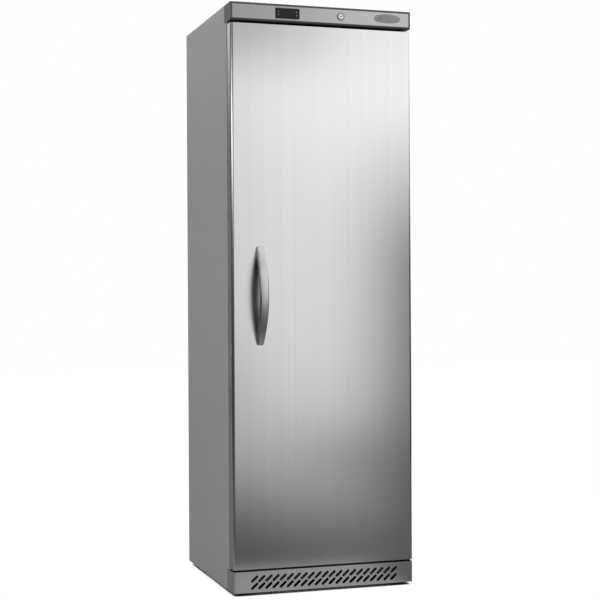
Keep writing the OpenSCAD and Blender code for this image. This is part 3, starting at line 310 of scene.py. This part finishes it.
steelLook = {"colour": (0.80, 0.80, 0.80), "roughness": 0.19, "scratch": 0.03, "pull": 0.6,
             "across": 900, "along": 3, "smudges": 2.5, "depth": 0.00002}
sheetLook = {"peel": 300, "depth": 0.0001, "metal": 0.0, "edge": 0.0012}
finishes = {
    "doorSteel": brushedSteel("doorSteel", {**steelLook, "grain": "z"}),
    "fasciaSteel": brushedSteel("fasciaSteel", {**steelLook, "grain": "x", "colour": (0.52, 0.52, 0.52),
                                                "roughness": 0.30}),
    "handleSteel": brushedSteel("handleSteel", {**steelLook, "grain": "z", "colour": (0.66, 0.66, 0.66),
                                                "roughness": 0.3, "pull": 0.4, "across": 1400}),
    "cabinetGrey": paintedSheet("cabinetGrey", {**sheetLook, "colour": (0.31, 0.31, 0.31), "roughness": 0.40}),
    "headerGrey": paintedSheet("headerGrey", {**sheetLook, "colour": (0.055, 0.055, 0.056), "roughness": 0.38}),
    "kickSteel": brushedSteel("kickSteel", {**steelLook, "grain": "x", "colour": (0.77, 0.77, 0.77),
                                            "roughness": 0.2}),
    "darkPaint": paintedSheet("darkPaint", {**sheetLook, "colour": (0.02, 0.02, 0.02), "roughness": 0.5}),
    "zinc": zincSheet("zinc", {"colour": (0.58, 0.59, 0.60), "roughness": 0.36, "spangle": 90}),
    "linerWhite": mouldedPlastic("linerWhite", {"colour": (0.78, 0.79, 0.79), "roughness": 0.33, "grain": 500,
                                                "depth": 0.00006}),
    "blackPlastic": mouldedPlastic("blackPlastic", {"colour": (0.022, 0.022, 0.023), "roughness": 0.42,
                                                    "grain": 1100, "depth": 0.00008}),
    "caseBlack": mouldedPlastic("caseBlack", {"colour": (0.006, 0.006, 0.006), "roughness": 0.6,
                                              "grain": 1100, "depth": 0.00008}),
    "markGrey": mouldedPlastic("markGrey", {"colour": (0.30, 0.30, 0.30), "roughness": 0.5, "grain": 1100,
                                            "depth": 0.00004}),
    "greyPlastic": mouldedPlastic("greyPlastic", {"colour": (0.16, 0.165, 0.17), "roughness": 0.42, "grain": 900,
                                                  "depth": 0.00008}),
    "sealGrey": rubber("sealGrey", {"colour": (0.045, 0.046, 0.048), "roughness": 0.5}),
    "footRubber": rubber("footRubber", {"colour": (0.02, 0.02, 0.02), "roughness": 0.6}),
    "foam": foamRubber("foam", {"colour": (0.74, 0.60, 0.30), "cells": 700}),
    "evaporatorSilver": drawnMetal("evaporatorSilver", {"colour": (0.74, 0.75, 0.76), "aged": (0.6, 0.6, 0.61),
                                                        "roughness": 0.35, "marks": 200, "patches": 6,
                                                        "tarnish": 0.5}),
    "chrome": drawnMetal("chrome", {"colour": (0.86, 0.86, 0.86), "aged": (0.74, 0.74, 0.74), "roughness": 0.1,
                                    "marks": 300, "patches": 60, "tarnish": 0.4}),
    "copper": drawnMetal("copper", {"colour": (0.80, 0.42, 0.27), "aged": (0.42, 0.22, 0.15), "roughness": 0.25,
                                    "marks": 150, "patches": 18, "tarnish": 0.8}),
    "blackEnamel": enamel("blackEnamel", {"colour": (0.012, 0.012, 0.013), "dust": (0.09, 0.088, 0.082),
                                          "roughness": 0.26, "runs": 45}),
    "coatedWire": mouldedPlastic("coatedWire", {"colour": (0.74, 0.75, 0.75), "roughness": 0.36, "grain": 300,
                                                "depth": 0.0001}),
    "window": darkGlass("window", {"colour": (0.010, 0.010, 0.011), "roughness": 0.25, "shine": 0.2}),
    "badgeNickel": drawnMetal("badgeNickel", {"colour": (0.28, 0.28, 0.28), "aged": (0.2, 0.2, 0.2),
                                              "roughness": 0.3, "marks": 400, "patches": 90, "tarnish": 0.6}),
    "nickel": drawnMetal("nickel", {"colour": (0.32, 0.32, 0.32), "aged": (0.24, 0.24, 0.24), "roughness": 0.2,
                                    "marks": 300, "patches": 60, "tarnish": 0.4}),
}

nodeFinish = {
    "doorSteel": ["door_skin"],
    "fasciaSteel": ["fascia_plate"],
    "cabinetGrey": ["side_panel_left", "side_panel_right", "top_panel"],
    "headerGrey": ["header_housing", "door_caps"],
    "kickSteel": ["kick_plate"],
    "darkPaint": ["front_rails", "base_frame", "base_pan", "hinge_bracket_lower"],
    "zinc": ["rear_panel", "floor_pan", "hinge_bracket_upper",
             "cabinet_screws", "lock_keeper", "lock_nut", "handle_screws"],
    "linerWhite": ["inner_liner", "door_liner", "fan_cover"],
    "caseBlack": ["controller_case", "key_upper_left", "key_lower_left", "key_upper_right", "key_lower_right"],
    "blackPlastic": ["roller_left", "roller_right", "terminal_box", "mains_inlet", "fan_motor", "fan_blade",
                     "evaporation_tray", "drain_spout", "wiring_conduit", "temp_probe", "hinge_bushes"],
    "sealGrey": ["door_gasket"],
    "footRubber": ["foot_left", "foot_right", "compressor_mounts"],
    "foam": ["insulation_foam", "door_foam"],
    "evaporatorSilver": ["evaporator_plate"],
    "chrome": ["lock_rotor", "lock_cam"],
    "nickel": ["lock_barrel"],
    "badgeNickel": ["badge_plate"],
    "handleSteel": ["handle"],
    "copper": ["refrigerant_lines", "filter_dryer"],
    "blackEnamel": ["compressor", "condenser"],
    "coatedWire": ["shelf_1", "shelf_2", "shelf_3", "shelf_4", "shelf_5"],
    "window": ["controller_window"],
}


def dress(piece, material):
    piece.data.materials.clear()
    piece.data.materials.append(material)


for finishName, names in nodeFinish.items():
    for name in names:
        dress(frame["nodes"][name], finishes[finishName])
bare = set(frame["nodes"]) - {name for names in nodeFinish.values() for name in names}
print("finishes on the frame's nodes; without one:", sorted(bare))


def link(name, mesh):
    piece = bpy.data.objects.new(name, mesh)
    bpy.context.scene.collection.objects.link(piece)
    return piece


def settle(form, name, materials, body, smooth=30):
    # the finished form becomes an object that moves with a body
    bmesh.ops.recalc_face_normals(form, faces=form.faces)
    for face in form.faces:
        face.smooth = True
    for edge in form.edges:
        edge.smooth = len(edge.link_faces) == 2 and edge.calc_face_angle() < math.radians(smooth)
    mesh = bpy.data.meshes.new(name)
    form.to_mesh(mesh)
    form.free()
    piece = link(name, mesh)
    for material in materials:
        mesh.materials.append(material)
    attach(piece, body)
    return piece


handleBow = {"x": -0.210, "doorFront": -0.270, "z": 0.9345, "length": 0.308, "reach": 0.060, "endDepth": 0.008,
             "midDepth": 0.015, "foot": 0.029, "midWidth": 0.027, "endWidth": 0.018, "edge": 0.0035,
             "footRings": 6, "bowRings": 36, "backTilt": 0.2, "sharp": 60, "edgeSteps": 4, "smooth": 40}


def arcHeight(offset, half, rise):
    # height over its chord of an arc that rises by rise in the middle
    radius = (half * half + rise * rise) / (2 * rise)
    return math.sqrt(max(0, radius * radius - offset * offset)) - radius + rise


def makeHandle(look):
    half, bowHalf = look["length"] / 2, look["length"] / 2 - look["foot"]
    steps = 2 * look["footRings"] + look["bowRings"]
    form = bmesh.new()
    bmesh.ops.create_cube(form, size=1)
    upright = [e for e in form.edges if abs(e.verts[0].co.z - e.verts[1].co.z) > 0.5]
    bmesh.ops.subdivide_edges(form, edges=upright, cuts=steps - 1)
    for vert in form.verts:
        step = round((vert.co.z + 0.5) * steps)
        if step <= look["footRings"]:
            z = -half + look["foot"] * step / look["footRings"]
        elif step >= steps - look["footRings"]:
            z = half - look["foot"] * (steps - step) / look["footRings"]
        else:
            z = -bowHalf + 2 * bowHalf * (step - look["footRings"]) / look["bowRings"]
        width = look["midWidth"] - (look["midWidth"] - look["endWidth"]) * (z / half) ** 2
        front = look["endDepth"] + arcHeight(z, half, look["reach"] - look["endDepth"])
        back = arcHeight(z, bowHalf, look["reach"] - look["midDepth"]) if abs(z) < bowHalf - 1e-6 else 0.0
        vert.co = (math.copysign(width / 2, vert.co.x), -front if vert.co.y < 0 else -back, z)
    # faces turned back towards the door take the second, black finish: partly a dark plastic body, partly painted
    # shade that keeps their reflection in the door dark
    for face in form.faces:
        if face.calc_center_median().y > -look["reach"] and face.normal.y > look["backTilt"]:
            face.material_index = 1
    rims = [e for e in form.edges if len({f.material_index for f in e.link_faces}) == 1
            and e.calc_face_angle(0) > math.radians(look["sharp"])]
    bmesh.ops.bevel(form, geom=rims, offset=look["edge"], offset_type="OFFSET", segments=look["edgeSteps"],
                    profile=0.5, affect="EDGES", material=-1, clamp_overlap=True)
    bmesh.ops.translate(form, vec=(look["x"], look["doorFront"], look["z"]), verts=form.verts)
    handle = settle(form, "handleBow", [finishes["handleSteel"], finishes["blackPlastic"]], "door",
                    look["smooth"])
    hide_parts("handle")
    print("handle:", len(handle.data.polygons), "faces")


makeHandle(handleBow)


reliefs = [
    # small raised shapes: plain marks on the keys, and a black disc in the lock's keyway that paints the shade
    # inside it
    {"name": "risingMark", "body": "key_upper_left", "corners": 3, "turn": 0, "at": (-0.1447, -0.2725, 1.8258)},
    {"name": "fallingMark", "body": "key_lower_left", "corners": 3, "turn": 180, "at": (-0.1447, -0.2725, 1.8162)},
    {"name": "ringMark", "body": "key_upper_right", "corners": 32, "turn": 0, "at": (-0.0849, -0.2725, 1.8263)},
    {"name": "squareMark", "body": "key_lower_right", "corners": 4, "turn": 45, "at": (-0.0849, -0.2725, 1.8157)},
    # painted shade: a closed black disc stands for the dark inside of the keyway
    {"name": "keywayShadeDisc", "body": "lock_plug", "corners": 32, "turn": 0, "at": (0.063, -0.272, 1.822),
     "radius": 0.0029, "finish": "blackPlastic", "closed": True},
]
reliefLook = {"radius": 0.0024, "rim": 0.0008, "lift": 0.0003, "sunk": 0.0002, "finish": "markGrey", "closed": False}


def makeRelief(look):
    form = bmesh.new()
    bmesh.ops.create_circle(form, cap_ends=True, segments=look["corners"], radius=look["radius"])
    middle = form.faces[:]
    bmesh.ops.inset_region(form, faces=middle, thickness=look["rim"], use_boundary=True, use_even_offset=True)
    if not look["closed"]:
        bmesh.ops.delete(form, geom=middle, context="FACES_ONLY")
    raised = bmesh.ops.extrude_face_region(form, geom=form.faces[:])
    corners = [part for part in raised["geom"] if isinstance(part, bmesh.types.BMVert)]
    bmesh.ops.translate(form, vec=(0, 0, look["lift"]), verts=corners)
    if look["closed"]:
        inner = [vert for vert in corners if vert.co.xy.length < look["radius"] - look["rim"] / 2]
        bmesh.ops.translate(form, vec=(0, 0, -look["sunk"]), verts=inner)
    upright = Matrix.Rotation(math.radians(90), 4, "X") @ Matrix.Rotation(math.radians(look["turn"]), 4, "Z")
    bmesh.ops.transform(form, matrix=Matrix.Translation(look["at"]) @ upright, verts=form.verts)
    loose = sum(len(edge.link_faces) != 2 for edge in form.edges)
    mark = settle(form, look["name"], [finishes[look["finish"]]], look["body"])
    print(look["name"], "with", len(mark.data.polygons), "faces and", loose, "open edges")


for relief in reliefs:
    makeRelief({**reliefLook, **relief})


cameraLook = {"place": (-1.41425, -4.44413, 0.91364), "turn": 0.309692, "tilt": 0.001647, "roll": -0.005593,
              "lens": 83.4986, "sensor": 36, "far": 60}


def aimCamera(look):
    turn, tilt, roll = look["turn"], look["tilt"], look["roll"]
    ahead = Vector((math.sin(turn) * math.cos(tilt), math.cos(turn) * math.cos(tilt), math.sin(tilt)))
    right = Vector((math.cos(turn), -math.sin(turn), 0))
    up = right.cross(ahead)
    rolledRight = math.cos(roll) * right + math.sin(roll) * up
    rolledUp = -math.sin(roll) * right + math.cos(roll) * up
    data = bpy.data.cameras.new("photoCamera")
    data.lens = look["lens"]
    data.sensor_width = look["sensor"]
    data.clip_end = look["far"]
    camera = bpy.data.objects.new("photoCamera", data)
    bpy.context.scene.collection.objects.link(camera)
    axes = Matrix((rolledRight, rolledUp, -ahead)).transposed().to_4x4()
    camera.matrix_world = Matrix.Translation(look["place"]) @ axes
    bpy.context.scene.camera = camera


aimCamera(cameraLook)


# dark: where ambient occlusion darkens the floor's glow into a painted contact shadow; the side entry paints a
# shadow along the cabinet's right side by position
studio = {"worldLight": 0.76, "floorGlow": 0.96, "floorHalf": 15, "bounce": 0.6, "reach": 0.25, "dark": (0.2, 0.42),
          "faint": 0.08, "skySamples": 16,
          "paintedSideShadow": ((0, 0.25, 0.3), (0, 0.345, 0.318), (1, -0.2, -0.13), (1, 0.33, 0.3))}


def sheet(name, size, placing):
    # one flat square, sized and then placed in its mesh
    form = bmesh.new()
    bmesh.ops.create_grid(form, x_segments=1, y_segments=1, size=0.5)
    bmesh.ops.scale(form, vec=(size[0], size[1], 1), verts=form.verts)
    bmesh.ops.transform(form, matrix=placing, verts=form.verts)
    mesh = bpy.data.meshes.new(name)
    form.to_mesh(mesh)
    form.free()
    return link(name, mesh)


def seenDirectly(f):
    # 1 for what the camera, metal and glass see; 0 for the soft light that falls on things
    path = f.node("LightPath")
    outputs = path.output.node.outputs
    seen = [Signal(f, outputs[name]) for name in ("Is Camera Ray", "Is Glossy Ray", "Is Transmission Ray")]
    return f.node("Math", {"operation": "MINIMUM"}, {0: seen[0] + seen[1] + seen[2], 1: 1.0})


def makeWorld(look):
    world = bpy.data.worlds.new("studioWorld")
    bpy.context.scene.world = world
    f = Finish(world)
    strength = seenDirectly(f) * (1 - look["worldLight"]) + look["worldLight"]
    glow = f.node("Background", None, {"Color": (1, 1, 1, 1), "Strength": strength})
    f.node("OutputWorld", None, {"Surface": glow})


def makeFloor(look):
    # seen directly it glows as the backdrop does; a painted shadow darkens that glow where the cabinet stands close
    # above it, found by ambient occlusion, and along its right side, away from the lamp on the left, placed by
    # position alone
    floor = sheet("floor", (2 * look["floorHalf"], 2 * look["floorHalf"]), Matrix.Identity(4))
    f = finish("paleFloor")
    lit = f.node("BsdfDiffuse", None, {"Color": (look["bounce"], look["bounce"], look["bounce"], 1)})
    faint = f.node("BsdfDiffuse", None, {"Color": (look["faint"], look["faint"], look["faint"], 1)})
    # painted contact shadow: the glow fades where the ambient occlusion finds the cabinet close
    sky = f.node("AmbientOcclusion", {"samples": look["skySamples"]}, {"Distance": look["reach"]}, 1)
    # painted shadow along the right side, faded in by position alone
    shade = 1.0
    for axis, clear, full in look["paintedSideShadow"]:
        shade = f.fade(f.node("SeparateXYZ", None, {0: f.spot()}, axis), clear, full) * shade
    glow = f.node("Emission", None, {
        "Color": (1, 1, 1, 1), "Strength": f.fade(sky, *look["dark"]) * (1 - shade) * look["floorGlow"]})
    pale = f.node("AddShader", None, {0: faint, 1: glow})
    mixed = f.node("MixShader", None, {0: seenDirectly(f), 1: lit, 2: pale})
    f.node("OutputMaterial", None, {"Surface": mixed})
    dress(floor, f.owner)


cards = [
    # painted cards that only shiny surfaces see; tones run upwards (away from the camera on the floor) and
    # across, and dusk darkens them from one place to another
    {"name": "frontCard", "size": (9.0, 3.4), "at": (1.5, -5.5, 1.7), "turn": (90, 0),
     "up": [(0.0, 0.86), (0.06, 0.90), (0.16, 0.95), (0.27, 0.99), (0.48, 1.03), (0.58, 1.09), (0.69, 1.20),
            (0.78, 1.17), (1.0, 0.9)],
     "across": [(0.0, 0.06), (0.31, 0.12), (0.47, 1.0), (1.0, 1.0)]},
    {"name": "floorCard", "size": (9.0, 5.2), "at": (1.5, -2.9, 0.004), "turn": (0, 0),
     "up": [(0.0, 0.9), (0.25, 0.82), (0.65, 0.39), (0.84, 0.26), (0.92, 0.2), (1.0, 0.14)],
     "across": [(0.0, 0.25), (0.33, 0.3), (0.42, 1.0), (1.0, 1.0)], "dusk": (0.7, 1.4, 0.3)},
    {"name": "nearFloorCard", "size": (2.0, 0.40), "at": (0.0, -0.475, 0.006), "turn": (0, 0),
     "up": [(0.0, 0.45), (0.12, 0.42), (0.2, 0.3), (1.0, 0.28)],
     "across": [(0.0, 0.9), (0.3, 1.0), (0.62, 1.0), (0.66, 0.3), (1.0, 0.25)]},
    {"name": "leftCard", "size": (5.2, 3.4), "at": (-3.0, -2.9, 1.7), "turn": (90, 90),
     "up": [(0.0, 0.03), (0.38, 0.04), (0.43, 0.2), (0.5, 1.8), (0.59, 2.2), (0.63, 0.5), (0.68, 0.15), (1.0, 0.2)]},
    {"name": "backLeftCard", "size": (16.0, 3.4), "at": (-3.0, 7.7, 1.7), "turn": (90, 90),
     "up": [(0.0, 0.16), (1.0, 0.24)], "across": [(0.0, 0.1), (0.49, 0.12), (0.53, 1.0), (1.0, 1.0)]},
    {"name": "backLeftFloorCard", "size": (4.66, 12.2), "at": (-2.62, 5.7, 0.004), "turn": (0, 0),
     "up": [(0.0, 0.16), (1.0, 0.2)]},
    {"name": "rightCard", "size": (9.0, 2.2), "at": (3.4, 1.4, 1.1), "turn": (90, 90),
     "up": [(0.0, 0.02), (0.5, 0.05), (0.85, 0.5), (1.0, 0.9)]},
]
flags = [
    # dark cloths near the door; the cloth gets denser from the first to the second place along x and z
    {"name": "rightFlag", "size": (2.4, 1.9), "at": (1.4, -1.3, 0.95), "turn": (90, 0),
     "x": (0.40, 0.83), "z": (1.80, 1.0), "most": 0.95, "tone": 0.03},
    {"name": "lowLeftFlag", "size": (1.2, 0.9), "at": (-0.36, -1.31, 0.46), "turn": (90, 0),
     "x": (0.20, 0.0), "z": (0.9, 0.5), "most": 0.16, "tone": 0.03},
    {"name": "topLeftFlag", "size": (2.4, 1.2), "at": (-0.5, -1.3, 2.3), "turn": (90, 0),
     "x": (0.55, 0.1), "z": (1.72, 2.0), "most": 0.45, "tone": 0.04},
    {"name": "lowRightFlag", "size": (2.4, 0.64), "at": (1.4, -0.98, 0.008), "turn": (0, 0),
     "x": (0.25, 0.68), "z": (1.0, 0.5), "most": 0.72, "tone": 0.04},
]


def makeCard(look):
    tilt, turn = (math.radians(angle) for angle in look["turn"])
    turned = Matrix.Rotation(turn, 4, "Z") @ Matrix.Rotation(tilt, 4, "X")
    card = sheet(look["name"], look["size"], Matrix.Translation(look["at"]) @ turned)
    f = finish(look["name"])
    upward = 2 if tilt else 1
    sizeUp = look["size"][1] / 2
    sizeAcross = look["size"][0] / 2
    height = f.node("SeparateXYZ", None, {0: f.spot()}, upward)
    across = f.node("SeparateXYZ", None, {0: f.spot()}, 0)
    way = f.node("MapRange", None, {
        "Value": height, "From Min": look["at"][upward] - sizeUp, "From Max": look["at"][upward] + sizeUp})
    tone = f.node("ValToRGB", {"stops": look["up"]}, {0: way})
    strength = 1.0
    if "across" in look:
        side = f.node("MapRange", None, {
            "Value": across, "From Min": look["at"][0] - sizeAcross, "From Max": look["at"][0] + sizeAcross})
        strength = f.node("ValToRGB", {"stops": look["across"]}, {0: side})
        if "dusk" in look:
            left, right, least = look["dusk"]
            strength = strength * (1 - f.fade(across, left, right) * (1 - least))
    glow = f.node("Emission", None, {"Color": tone, "Strength": strength})
    f.node("OutputMaterial", None, {"Surface": glow})
    hang(card, f)


def makeFlag(look):
    tilt = math.radians(look["turn"][0])
    cloth = sheet(look["name"], look["size"], Matrix.Translation(look["at"]) @ Matrix.Rotation(tilt, 4, "X"))
    f = finish(look["name"])
    spot = f.spot()
    dense = look["most"]
    for axis, key in ((0, "x"), (2, "z")):
        value = f.node("SeparateXYZ", None, {0: spot}, axis)
        dense = f.fade(value, *look[key]) * dense
    tone = look["tone"]
    clear = f.node("BsdfTransparent", None, {"Color": (1, 1, 1, 1)})
    dark = f.node("Emission", None, {"Color": (tone, tone, tone, 1), "Strength": 1.0})
    mixed = f.node("MixShader", None, {0: dense, 1: clear, 2: dark})
    f.node("OutputMaterial", None, {"Surface": mixed})
    hang(cloth, f)


def hang(card, f):
    # only shiny surfaces see it
    dress(card, f.owner)
    card.visible_camera = False
    card.visible_diffuse = False
    card.visible_transmission = False
    card.visible_shadow = False


lamps = [
    {"name": "overheadSoftbox", "at": (0.9, -3.2, 4.2), "aim": (0, 0, 1.0), "size": (4.4, 3.2), "power": 90},
    {"name": "leftSoftbox", "at": (-4.6, -1.2, 3.6), "aim": (0, 0, 0.9), "size": (3.4, 2.6), "power": 40},
]


def makeLamp(look):
    data = bpy.data.lights.new(look["name"], "AREA")
    data.shape = "RECTANGLE"
    data.size, data.size_y = look["size"]
    data.energy = look["power"]
    lamp = bpy.data.objects.new(look["name"], data)
    lamp.visible_glossy = False
    bpy.context.scene.collection.objects.link(lamp)
    lamp.location = look["at"]
    lamp.rotation_euler = (Vector(look["aim"]) - Vector(look["at"])).to_track_quat("-Z", "Y").to_euler()


makeWorld(studio)
makeFloor(studio)
for card in cards:
    makeCard(card)
for flag in flags:
    makeFlag(flag)
for lamp in lamps:
    makeLamp(lamp)
bpy.context.scene.view_settings.view_transform = "Standard"
print("camera, floor, cards and lamps placed")
